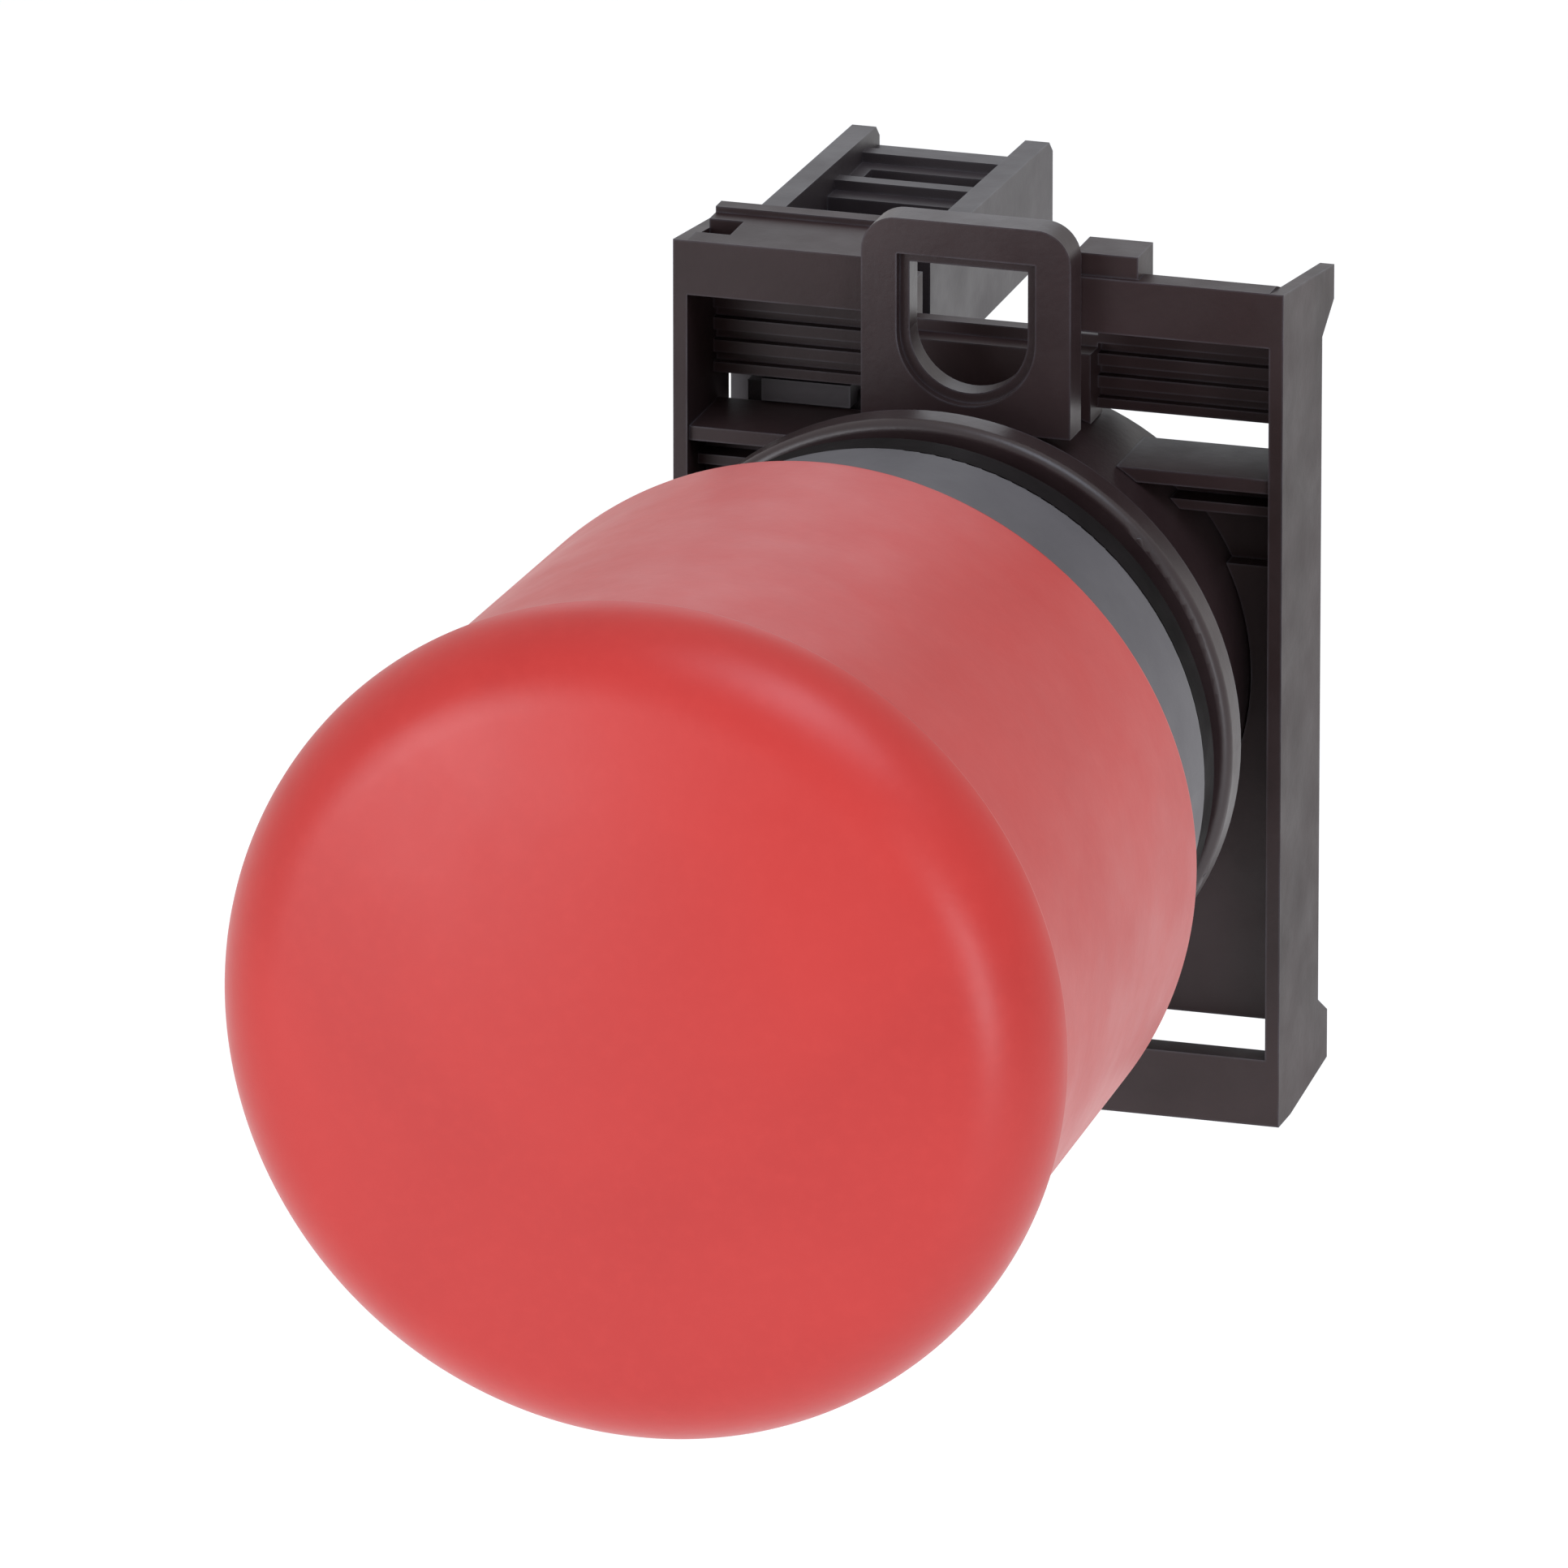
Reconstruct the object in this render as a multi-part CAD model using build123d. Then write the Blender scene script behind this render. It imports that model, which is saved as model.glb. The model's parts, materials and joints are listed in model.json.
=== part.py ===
from build123d import *
import math
import os

# Emergency stop button: a 22 mm push-pull mushroom head in a panel operator, held by a clip-on
# mounting adapter that carries one contact block in the left of its three positions.
# Millimetres. The origin is the centre of the gasket's rear face, where the operator meets the
# panel. +Y points into the panel along the button's axis, +Z is up and +X is right from the front.

HEAD_TRAVEL = 4.5

# Mushroom cap
CAP_FRONT_Y = -48.0
CAP_REAR_Y = -13.5
CROWN_RADIUS = 20.0
DOME_RADIUS = 75.0
CROWN_EDGE_RADIUS = 4.8
CROWN_REAR_Y = -41.3
CROWN_LIP_RADIUS = 0.45
SKIRT_FRONT_Y = -40.3
SKIRT_FRONT_RADIUS = 18.9
SKIRT_REAR_RADIUS = 18.1
SKIRT_EDGE_RADIUS = 0.6
CAP_BORE = 16.6
CAP_ROOF_Y = -45.6
CAP_ROOF_CORNER = 1.5
CAP_HUB_RADIUS = 7.0
CAP_HUB_BORE = 5.5

# Insert, screw and stem, which move with the cap
INSERT_FRONT_Y = -38.0
INSERT_REAR_Y = -36.4
INSERT_COLLAR_Y = -41.5
INSERT_HOLE_COUNT = 6
INSERT_HOLE_RADIUS = 2.2
INSERT_HOLE_CIRCLE = 13.2
SCREW_HEAD_RADIUS = 2.8
SCREW_HEAD_HEIGHT = 2.0
SCREW_SHANK_RADIUS = 1.5
SCREW_LENGTH = 12.0
RECESS_DEPTH = 1.1
RECESS_WIDTH = 0.8
RECESS_LENGTH = 3.2
STEM_RADIUS = 7.95
STEM_BORE = 5.0
STEM_BORE_Y = -24.0
STEM_REAR_Y = 17.0
NOTCH_WAIST_RADIUS = 7.2
NOTCH_RADIUS = 6.6
NOTCH_HALF = 1.6
NOTCH_RUNOUT = 0.4

# Barrel, collar and seals, which stay with the panel
BARREL_BORE = 8.0
NECK_RADIUS = 11.0
BARREL_FRONT_Y = -23.5
BARREL_FLANGE_Y = -22.0
BARREL_FLANGE_RADIUS = 12.2
BARREL_REAR_Y = 17.0
DETENT_Y = -11.0
BALL_RADIUS = 1.5
BALL_HOLE_RADIUS = 1.55
BALL_OFFSET = 8.8
DETENT_WIRE_RADIUS = 0.5
DETENT_GROOVE_HALF = 0.6
DETENT_RING_SWEEP = 320
COLLAR_RADIUS = 15.0
COLLAR_FRONT_RADIUS = 14.7
COLLAR_EDGE_RADIUS = 0.8
COLLAR_RELIEF_RADIUS = 11.7
COLLAR_RELIEF_HALF = 1.6
GASKET_THICKNESS = 1.6
GASKET_RADIUS = 14.9
GASKET_BORE = 12.2
KEY_HALF_WIDTH = 1.5
KEY_TOP = 12.0
KEY_REAR_Y = 1.9
SEAL_FRONT_Y = -19.6
SEAL_REAR_Y = -17.6
SEAL_GROOVE_RADIUS = 9.3
SEAL_CLEARANCE = 0.03
SEAL_LIP = 0.4
BAYONET_GROOVE_RADIUS = 10.3
BAYONET_FRONT_Y = 9.8
BAYONET_REAR_Y = 12.2
BAYONET_SLOT_SWEEP = 30
LUG_RADIUS = 10.4
LUG_SWEEP = 24
LUG_GAP = 0.2

# Pusher and its cross pin
PUSHER_FRONT_Y = 17.2
PUSHER_REAR_Y = 18.9
PUSHER_HALF_LENGTH = 12.4
PUSHER_HALF_HEIGHT = 2.6
PAD_RADIUS = 2.2
PAD_REAR_Y = 19.1
PUSHER_SPIGOT_Y = 10.0
PIN_Y = 12.0
PIN_RADIUS = 1.0
PIN_HALF_LENGTH = 7.8

# Head spring
SPRING_MEAN_RADIUS = 10.0
SPRING_WIRE_RADIUS = 0.5
SPRING_TURNS = 6

# Lock ring with its lever tab
PANEL_GAP = 2.2
RING_BORE = 11.06
RING_RADIUS = 15.05
RING_EDGE_RADIUS = 0.5
RING_RIM_REAR_Y = 4.0
RING_HUB_RADIUS = 12.6
RING_SNAP_Y = 16.1
RING_SNAP_RADIUS = 13.2
RING_SNAP_SWEEP = 50
RING_REAR_Y = 16.9
LOCK_TURN = 40
TAB_HALF_WIDTH = 5.15
TAB_TOP = 22.7
TAB_FOOT = 12.5
TAB_FRONT_Y = 9.1
TAB_REAR_Y = 10.85
TAB_CORNER_RADIUS = 1.7
WINDOW_HALF_WIDTH = 2.9
WINDOW_TOP = 20.45
WINDOW_CENTRE = 17.1
WINDOW_BEVEL = 0.5

# Mounting adapter
ADAPTER_FRONT_Y = 11.0
ADAPTER_HALF_WIDTH = 15.0
ADAPTER_TOP = 20.0
ADAPTER_BOTTOM = -21.4
WALL = 0.7
WALL_REAR_Y = 17.7
EAR_REAR_Y = 19.7
EAR_TOP = 18.9
EAR_FOOT = 17.2
EAR_ROOT = 15.9
LUG_TOP = -18.2
LUG_FOOT = -20.6
LUG_ROOT = -17.2
LUG_START_Y = 13.0
LUG_REAR_Y = 19.3
RAIL_REAR_Y = 16.5
TOP_RAIL_BOTTOM = 17.3
RAIL_LIP = 0.3
RAIL_LIP_Y = 15.6
RAIL_NOTCH_X = -12.6
RAIL_NOTCH_FRONT_Y = 12.4
RAIL_NOTCH_REAR_Y = 14.6
RAIL_NOTCH_DEPTH = 0.8
RIGHT_RAIL_Y = 12.3
RIGHT_RAIL_REAR_TOP = 18.4
BOTTOM_RAIL_TOP = -18.1
BOTTOM_RAIL_REAR_Y = 12.4
GAP_HALF_WIDTH = 4.7
BRIDGE_WALL_TOP = 15.8
BRIDGE_LEDGE_TOP = 15.2
STOP_INNER = 4.7
STOP_OUTER = 7.8
STOP_HEIGHT = 1.1
STOP_FRONT_Y = 11.3
STOP_REAR_Y = 13.8
RIBBED_WALL_Y = 15.2
RIBBED_WALL_BOTTOM = 12.2
RIB_PITCH = 1.1
RIB_GROOVE = 0.5
PLATE_FRONT_Y = 14.0
PLATE_REAR_Y = 16.0
PLATE_TOP = 10.7
PLATE_BOTTOM = -17.1
PLATE_LIP = 0.7
PLATE_LIP_Y = 11.3
PLATE_RIB_TOP = 8.9
PLATE_RIB_Y = 12.7
PLATE_RIB = 0.5
POCKET_X = 9.6
POCKET_TOP = 8.3
POCKET_BOTTOM = 5.5
POCKET_DEPTH = 1.0
HUB_CLEARANCE = 0.05

# Contact block
BLOCK_X = -9.9
BLOCK_HALF_WIDTH = 4.95
BLOCK_WALL = 1.2
ARM_FRONT_Y = 19.8
ARM_OUTER_FRONT = 17.7
ARM_OUTER_REAR = 17.1
ARM_INNER = 11.5
BLOCK_REAR_Y = 40.3
BLOCK_CORNER = 0.6
CHAMBER_FRONT_Y = 25.0
CHAMBER_REAR_Y = 38.0
CHAMBER_HALF = 7.7
COVER_WEB_Y = 27.9
CHAMBER_ROOF = 1.1
BACK_WALL_TOP = 16.0
ARM_FLOOR = 1.0
ARM_FLOOR_Y = 33.0
TERMINAL_ROOF = 0.7
TERMINAL_ROOF_Y = 31.6
WIRE_ENTRY_FRONT_Y = 34.9
WIRE_ENTRY_REAR_Y = 36.4
WIRE_ENTRY_HALF_WIDTH = 3.0
ROOF_RIB_HEIGHT = 0.5
ROOF_RIB_YS = (32.8, 37.4)
CHANNEL_RIB_HEIGHT = 1.6
CHANNEL_RIB = 0.8
CHANNEL_RIB_FIRST_Y = 22.6
CHANNEL_RIB_PITCH = 2.8
CHANNEL_RIB_COUNT = 3
HOOK_HALF_WIDTH = 3.3
NOSE_BOTTOM = 13.4
NOSE_TOP = 16.4
HOOK_TOP = -17.2
HOOK_BOTTOM = -18.2
HOOK_TIP_Y = 12.9
HOOK_TIP = 1.0
HOOK_GAP = 0.1

# Contact block's release latch
LATCH_BOTTOM = 9.9
LATCH_TOP = 11.3
LATCH_NOSE_BOTTOM = 10.8
LATCH_NOSE_TOP = 11.9
LATCH_NOSE_HALF = 2.2
LATCH_FRONT_Y = 15.8
LATCH_BAR_Y = 17.2
LATCH_NOSE_BACK = 0.3
LATCH_REAR_Y = 41.3
LATCH_FORK_HALF = 2.3
LATCH_FORK_Y = 31.2

# Contact block's moving and fixed contacts
PLUNGER_TIP_Y = 19.15
PLUNGER_HALF_WIDTH = 1.5
PLUNGER_HALF_HEIGHT = 2.4
PLUNGER_GAP = 0.15
PLUNGER_SHOULDER_Y = 29.8
PLUNGER_TAIL_Y = 32.0
PLUNGER_TAIL_RADIUS = 1.0
BRIDGE_FRONT_Y = 28.6
BRIDGE_THICKNESS = 0.6
BRIDGE_HALF_WIDTH = 1.0
BRIDGE_HALF_LENGTH = 5.3
TIP_RADIUS = 0.9
TIP_Z = 4.2
TIP_HEIGHT = 0.6
STRIP = 0.8
STRIP_HALF_WIDTH = 2.0
STRIP_CONTACT_Y = 26.6
STRIP_CONTACT_Z = 2.8
STRIP_ROOF_GAP = 0.2
STRIP_LEG_Y = 34.0
STRIP_TOP = 15.0
CONTACT_SPRING_RADIUS = 1.8
CONTACT_SPRING_WIRE = 0.22
CONTACT_SPRING_TURNS = 4
TERMINAL_Z = 13.2
TERMINAL_SHANK_RADIUS = 1.1
TERMINAL_SHANK_GAP = 0.05
TERMINAL_FRONT_Y = 33.6
CLAMP_FRONT_Y = 34.9
CLAMP_THICKNESS = 1.0
CLAMP_HALF_WIDTH = 2.1
CLAMP_BOTTOM = 11.7
CLAMP_TOP = 14.8
TERMINAL_HEAD_RADIUS = 1.55
TERMINAL_HEAD_HEIGHT = 1.9
TERMINAL_HOLE_RADIUS = 1.66
TERMINAL_SLOT = 0.7


def turned(*outline, edges=()):
    """A solid turned about the button's axis from (radius, y) corners; edges lists
    ((radius, y), fillet) for the corners that are rounded."""
    face = make_face(Polyline(*outline, close=True))
    return revolve(rounded(face, edges), Axis.Y)


def rounded(face, edges):
    for (across, along), radius in edges:
        face = fillet(face.vertices().sort_by_distance((across, along, 0))[0], radius)
    return face


def sector(centre, sweep, *outline):
    """Part of a turned ring, centred that many degrees clockwise of +Z from the front."""
    ring = revolve(make_face(Polyline(*outline, close=True)), Axis.Y, sweep)
    return Rot(0, centre - 90 - sweep / 2, 0) * ring


def brick(x_range, y_range, z_range):
    size = [high - low for low, high in (x_range, y_range, z_range)]
    middle = [(high + low) / 2 for low, high in (x_range, y_range, z_range)]
    return Pos(*middle) * Box(*size)


def rod(radius, front_y, rear_y, x=0, z=0):
    """A cylinder along Y."""
    return Pos(x, (front_y + rear_y) / 2, z) * Rot(90, 0, 0) * Cylinder(radius, rear_y - front_y)


def side_plate(x_range, outline):
    """A plate across X with (y, z) corners."""
    face = Plane.YZ.offset(x_range[0]) * make_face(Polyline(*outline, close=True))
    return extrude(face, x_range[1] - x_range[0])


def front_plate(y_range, sketch):
    """A plate across Y from a sketch in x and z."""
    return extrude(Plane.XZ.offset(-y_range[1]) * sketch, y_range[1] - y_range[0])


def coil(mean_radius, wire_radius, turns, front_y, rear_y, x=0):
    """A compression spring along Y between two flat seats."""
    length = rear_y - front_y - 2 * wire_radius
    start = (x, front_y + wire_radius, 0)
    path = Helix(length / turns, length, mean_radius, start, (0, 1, 0))
    return sweep(Plane(path @ 0, z_dir=path % 0) * Circle(wire_radius), path, is_frenet=True)


def across_block(half_width):
    return (BLOCK_X - half_width, BLOCK_X + half_width)


def mirrored(shape):
    """The same piece turned upside down about the button's axis height."""
    return mirror(shape, Plane.XY)


def mushroom_cap():
    dome_centre = CAP_FRONT_Y + DOME_RADIUS
    edge_y = dome_centre - math.sqrt(DOME_RADIUS**2 - CROWN_RADIUS**2)
    middle = (CROWN_RADIUS / 2, dome_centre - math.sqrt(DOME_RADIUS**2 - CROWN_RADIUS**2 / 4))
    dome = ThreePointArc((0, CAP_FRONT_Y), middle, (CROWN_RADIUS, edge_y))
    sides = Polyline(
        (CROWN_RADIUS, edge_y),
        (CROWN_RADIUS, CROWN_REAR_Y),
        (SKIRT_FRONT_RADIUS, SKIRT_FRONT_Y),
        (SKIRT_REAR_RADIUS, CAP_REAR_Y),
        (CAP_BORE, CAP_REAR_Y),
        (CAP_BORE, CAP_ROOF_Y + CAP_ROOF_CORNER),
        (CAP_BORE - CAP_ROOF_CORNER, CAP_ROOF_Y),
        (CAP_HUB_RADIUS, CAP_ROOF_Y),
        (CAP_HUB_RADIUS, INSERT_FRONT_Y),
        (CAP_HUB_BORE, INSERT_FRONT_Y),
        (CAP_HUB_BORE, CAP_ROOF_Y),
        (0, CAP_ROOF_Y),
        (0, CAP_FRONT_Y),
    )
    edges = (
        ((CROWN_RADIUS, edge_y), CROWN_EDGE_RADIUS),
        ((CROWN_RADIUS, CROWN_REAR_Y), CROWN_LIP_RADIUS),
        ((SKIRT_FRONT_RADIUS, SKIRT_FRONT_Y), CROWN_LIP_RADIUS),
        ((SKIRT_REAR_RADIUS, CAP_REAR_Y), SKIRT_EDGE_RADIUS),
    )
    return revolve(rounded(make_face([dome, sides]), edges), Axis.Y)


def cap_insert():
    disc = turned(
        (SCREW_SHANK_RADIUS, INSERT_COLLAR_Y + SCREW_HEAD_HEIGHT),
        (SCREW_HEAD_RADIUS, INSERT_COLLAR_Y + SCREW_HEAD_HEIGHT),
        (SCREW_HEAD_RADIUS, INSERT_COLLAR_Y),
        (CAP_HUB_BORE, INSERT_COLLAR_Y),
        (CAP_HUB_BORE, INSERT_FRONT_Y),
        (CAP_BORE, INSERT_FRONT_Y),
        (CAP_BORE, INSERT_REAR_Y),
        (SCREW_SHANK_RADIUS, INSERT_REAR_Y),
    )
    for index in range(INSERT_HOLE_COUNT):
        angle = math.tau * index / INSERT_HOLE_COUNT
        place = (INSERT_HOLE_CIRCLE * math.cos(angle), INSERT_HOLE_CIRCLE * math.sin(angle))
        disc -= rod(INSERT_HOLE_RADIUS, INSERT_FRONT_Y, INSERT_REAR_Y, *place)
    return disc


def head_screw():
    seat_y = INSERT_COLLAR_Y + SCREW_HEAD_HEIGHT
    screw = rod(SCREW_HEAD_RADIUS, INSERT_COLLAR_Y, seat_y)
    screw += rod(SCREW_SHANK_RADIUS, seat_y, seat_y + SCREW_LENGTH)
    recess = (INSERT_COLLAR_Y, INSERT_COLLAR_Y + RECESS_DEPTH)
    half_long = RECESS_LENGTH / 2
    half_wide = RECESS_WIDTH / 2
    screw -= brick((-half_long, half_long), recess, (-half_wide, half_wide))
    screw -= brick((-half_wide, half_wide), recess, (-half_long, half_long))
    return screw


def stem():
    pushed_y = DETENT_Y - HEAD_TRAVEL
    ridge_y = DETENT_Y - HEAD_TRAVEL / 2
    body = turned(
        (SCREW_SHANK_RADIUS, INSERT_REAR_Y),
        (STEM_RADIUS, INSERT_REAR_Y),
        (STEM_RADIUS, pushed_y - NOTCH_HALF - NOTCH_RUNOUT),
        (NOTCH_WAIST_RADIUS, pushed_y - NOTCH_HALF),
        (NOTCH_RADIUS, pushed_y),
        (NOTCH_WAIST_RADIUS, ridge_y),
        (NOTCH_RADIUS, DETENT_Y),
        (NOTCH_WAIST_RADIUS, DETENT_Y + NOTCH_HALF),
        (STEM_RADIUS, DETENT_Y + NOTCH_HALF + NOTCH_RUNOUT),
        (STEM_RADIUS, STEM_REAR_Y),
        (STEM_BORE, STEM_REAR_Y),
        (STEM_BORE, STEM_BORE_Y),
        (SCREW_SHANK_RADIUS, STEM_BORE_Y),
    )
    return body - cross_pin()


def cross_pin():
    return Pos(0, PIN_Y, 0) * Rot(0, 90, 0) * Cylinder(PIN_RADIUS, 2 * PIN_HALF_LENGTH)


def pusher_plate():
    length = (-PUSHER_HALF_LENGTH, PUSHER_HALF_LENGTH)
    height = (-PUSHER_HALF_HEIGHT, PUSHER_HALF_HEIGHT)
    plate = brick(length, (PUSHER_FRONT_Y, PUSHER_REAR_Y), height)
    plate += rod(STEM_BORE, PUSHER_SPIGOT_Y, PUSHER_FRONT_Y)
    for x in (BLOCK_X, 0, -BLOCK_X):
        plate += rod(PAD_RADIUS, PUSHER_REAR_Y, PAD_REAR_Y, x)
    return plate - cross_pin()


def operator_barrel():
    body = turned(
        (BARREL_BORE, BARREL_FRONT_Y),
        (BARREL_FLANGE_RADIUS, BARREL_FRONT_Y),
        (BARREL_FLANGE_RADIUS, BARREL_FLANGE_Y),
        (NECK_RADIUS, BARREL_FLANGE_Y),
        (NECK_RADIUS, DETENT_Y - DETENT_GROOVE_HALF),
        (BALL_OFFSET + BALL_RADIUS, DETENT_Y - DETENT_GROOVE_HALF),
        (BALL_OFFSET + BALL_RADIUS, DETENT_Y + DETENT_GROOVE_HALF),
        (NECK_RADIUS, DETENT_Y + DETENT_GROOVE_HALF),
        (NECK_RADIUS, BAYONET_FRONT_Y),
        (BAYONET_GROOVE_RADIUS, BAYONET_FRONT_Y),
        (BAYONET_GROOVE_RADIUS, BAYONET_REAR_Y),
        (NECK_RADIUS, BAYONET_REAR_Y),
        (NECK_RADIUS, BARREL_REAR_Y),
        (BARREL_BORE, BARREL_REAR_Y),
        (BARREL_BORE, SEAL_REAR_Y),
        (SEAL_GROOVE_RADIUS, SEAL_REAR_Y),
        (SEAL_GROOVE_RADIUS, SEAL_FRONT_Y),
        (BARREL_BORE, SEAL_FRONT_Y),
    )
    body -= Pos(0, DETENT_Y, 0) * Rot(0, 90, 0) * Cylinder(BALL_HOLE_RADIUS, 2 * COLLAR_RADIUS)
    key_width = (-KEY_HALF_WIDTH, KEY_HALF_WIDTH)
    body += brick(key_width, (-GASKET_THICKNESS, KEY_REAR_Y), (BAYONET_GROOVE_RADIUS, KEY_TOP))
    for side in (0, 180):
        body -= sector(
            LOCK_TURN + side,
            BAYONET_SLOT_SWEEP,
            (BAYONET_GROOVE_RADIUS, BAYONET_REAR_Y),
            (BARREL_FLANGE_RADIUS, BAYONET_REAR_Y),
            (BARREL_FLANGE_RADIUS, BARREL_REAR_Y),
            (BAYONET_GROOVE_RADIUS, BARREL_REAR_Y),
        )
    return body


def bezel_collar():
    relief_front = DETENT_Y - COLLAR_RELIEF_HALF
    relief_rear = DETENT_Y + COLLAR_RELIEF_HALF
    return turned(
        (NECK_RADIUS, BARREL_FLANGE_Y),
        (COLLAR_FRONT_RADIUS, BARREL_FLANGE_Y),
        (COLLAR_RADIUS, -GASKET_THICKNESS),
        (NECK_RADIUS, -GASKET_THICKNESS),
        (NECK_RADIUS, relief_rear),
        (COLLAR_RELIEF_RADIUS, relief_rear),
        (COLLAR_RELIEF_RADIUS, relief_front),
        (NECK_RADIUS, relief_front),
        edges=(
            ((COLLAR_FRONT_RADIUS, BARREL_FLANGE_Y), COLLAR_EDGE_RADIUS),
            ((COLLAR_RADIUS, -GASKET_THICKNESS), COLLAR_EDGE_RADIUS / 2),
        ),
    ) - brick(
        (-KEY_HALF_WIDTH, KEY_HALF_WIDTH),
        (-GASKET_THICKNESS, 0),
        (NECK_RADIUS, KEY_TOP),
    )


def panel_gasket():
    return turned(
        (GASKET_BORE, -GASKET_THICKNESS),
        (GASKET_RADIUS, -GASKET_THICKNESS),
        (GASKET_RADIUS, 0),
        (GASKET_BORE, 0),
    )


def stem_seal():
    return turned(
        (STEM_RADIUS + SEAL_CLEARANCE, SEAL_FRONT_Y + SEAL_LIP),
        (SEAL_GROOVE_RADIUS, SEAL_FRONT_Y),
        (SEAL_GROOVE_RADIUS, SEAL_REAR_Y),
        (STEM_RADIUS + SEAL_CLEARANCE, SEAL_REAR_Y - SEAL_LIP),
    )


def detent_balls():
    balls = [Pos(side * BALL_OFFSET, DETENT_Y, 0) * Sphere(BALL_RADIUS) for side in (-1, 1)]
    return Compound(children=balls)


def detent_spring():
    centre = BALL_OFFSET + BALL_RADIUS + DETENT_WIRE_RADIUS
    wire = revolve(Pos(centre, DETENT_Y) * Circle(DETENT_WIRE_RADIUS), Axis.Y, DETENT_RING_SWEEP)
    return Rot(0, (360 - DETENT_RING_SWEEP) / 2 - 90, 0) * wire


def head_spring():
    return coil(
        SPRING_MEAN_RADIUS, SPRING_WIRE_RADIUS, SPRING_TURNS, INSERT_REAR_Y, BARREL_FRONT_Y
    )


def lock_ring():
    ring = turned(
        (RING_BORE, PANEL_GAP),
        (RING_RADIUS, PANEL_GAP),
        (RING_RADIUS, RING_RIM_REAR_Y),
        (RING_HUB_RADIUS, RING_RIM_REAR_Y),
        (RING_HUB_RADIUS, RING_REAR_Y),
        (RING_BORE, RING_REAR_Y),
        edges=(((RING_RADIUS, PANEL_GAP), RING_EDGE_RADIUS),),
    )
    ring += lever_tab()
    for side in (0, 180):
        ring += sector(
            side,
            LUG_SWEEP,
            (LUG_RADIUS, BAYONET_FRONT_Y + LUG_GAP),
            (RING_HUB_RADIUS, BAYONET_FRONT_Y + LUG_GAP),
            (RING_HUB_RADIUS, BAYONET_REAR_Y - LUG_GAP),
            (LUG_RADIUS, BAYONET_REAR_Y - LUG_GAP),
        )
        ring += sector(
            side + 90,
            RING_SNAP_SWEEP,
            (RING_BORE, RING_SNAP_Y),
            (RING_SNAP_RADIUS, RING_SNAP_Y),
            (RING_SNAP_RADIUS, RING_REAR_Y),
            (RING_BORE, RING_REAR_Y),
        )
    return ring


def tab_window(grow):
    half = WINDOW_HALF_WIDTH + grow
    height = WINDOW_TOP + grow - WINDOW_CENTRE
    straight = Pos(0, WINDOW_CENTRE + height / 2) * Rectangle(2 * half, height)
    return straight + Pos(0, WINDOW_CENTRE) * Circle(half)


def lever_tab():
    height = TAB_TOP - TAB_FOOT
    outline = Pos(0, TAB_FOOT + height / 2) * Rectangle(2 * TAB_HALF_WIDTH, height)
    top_corners = outline.vertices().group_by(Axis.Y)[-1]
    outline = fillet(top_corners, TAB_CORNER_RADIUS)
    tab = front_plate((TAB_FRONT_Y, TAB_REAR_Y), outline)
    tab -= front_plate((TAB_FRONT_Y, TAB_REAR_Y), tab_window(0))
    tab -= front_plate((TAB_FRONT_Y, TAB_FRONT_Y + WINDOW_BEVEL), tab_window(WINDOW_BEVEL))
    neck = rod(RING_HUB_RADIUS, TAB_FRONT_Y, TAB_REAR_Y)
    return tab - neck


def adapter_side(x_range):
    outline = (
        (ADAPTER_FRONT_Y, ADAPTER_BOTTOM),
        (ADAPTER_FRONT_Y, ADAPTER_TOP),
        (EAR_REAR_Y, EAR_TOP),
        (EAR_REAR_Y, EAR_FOOT),
        (WALL_REAR_Y, EAR_ROOT),
        (WALL_REAR_Y, LUG_ROOT),
        (LUG_REAR_Y, LUG_TOP),
        (LUG_REAR_Y, LUG_FOOT),
        (LUG_START_Y, ADAPTER_BOTTOM),
    )
    return side_plate(x_range, outline)


def upper_window(x_range):
    """What frames one upper window below its rail: ribbed wall, plate lip and thin rib."""
    frame = brick(x_range, (RIBBED_WALL_Y, WALL_REAR_Y), (RIBBED_WALL_BOTTOM, TOP_RAIL_BOTTOM))
    groove_z = RIBBED_WALL_BOTTOM + RIB_GROOVE
    while groove_z < TOP_RAIL_BOTTOM - RIB_GROOVE:
        cut = (RIBBED_WALL_Y, RIBBED_WALL_Y + RIB_GROOVE)
        frame -= brick(x_range, cut, (groove_z, groove_z + RIB_GROOVE))
        groove_z += RIB_PITCH
    frame += brick(x_range, (PLATE_LIP_Y, PLATE_FRONT_Y), (PLATE_TOP - PLATE_LIP, PLATE_TOP))
    rib_z = (PLATE_RIB_TOP - PLATE_RIB, PLATE_RIB_TOP)
    return frame + brick(x_range, (PLATE_RIB_Y, PLATE_FRONT_Y), rib_z)


def left_rail(x_range):
    """The flat top rail, with a lip along its rear and a notch beside the side wall."""
    rail = brick(x_range, (ADAPTER_FRONT_Y, RAIL_REAR_Y), (TOP_RAIL_BOTTOM, ADAPTER_TOP))
    rail += brick(x_range, (RAIL_LIP_Y, RAIL_REAR_Y), (ADAPTER_TOP, ADAPTER_TOP + RAIL_LIP))
    notch_y = (RAIL_NOTCH_FRONT_Y, RAIL_NOTCH_REAR_Y)
    notch_z = (ADAPTER_TOP - RAIL_NOTCH_DEPTH, ADAPTER_TOP)
    return rail - brick((x_range[0], RAIL_NOTCH_X), notch_y, notch_z)


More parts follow.
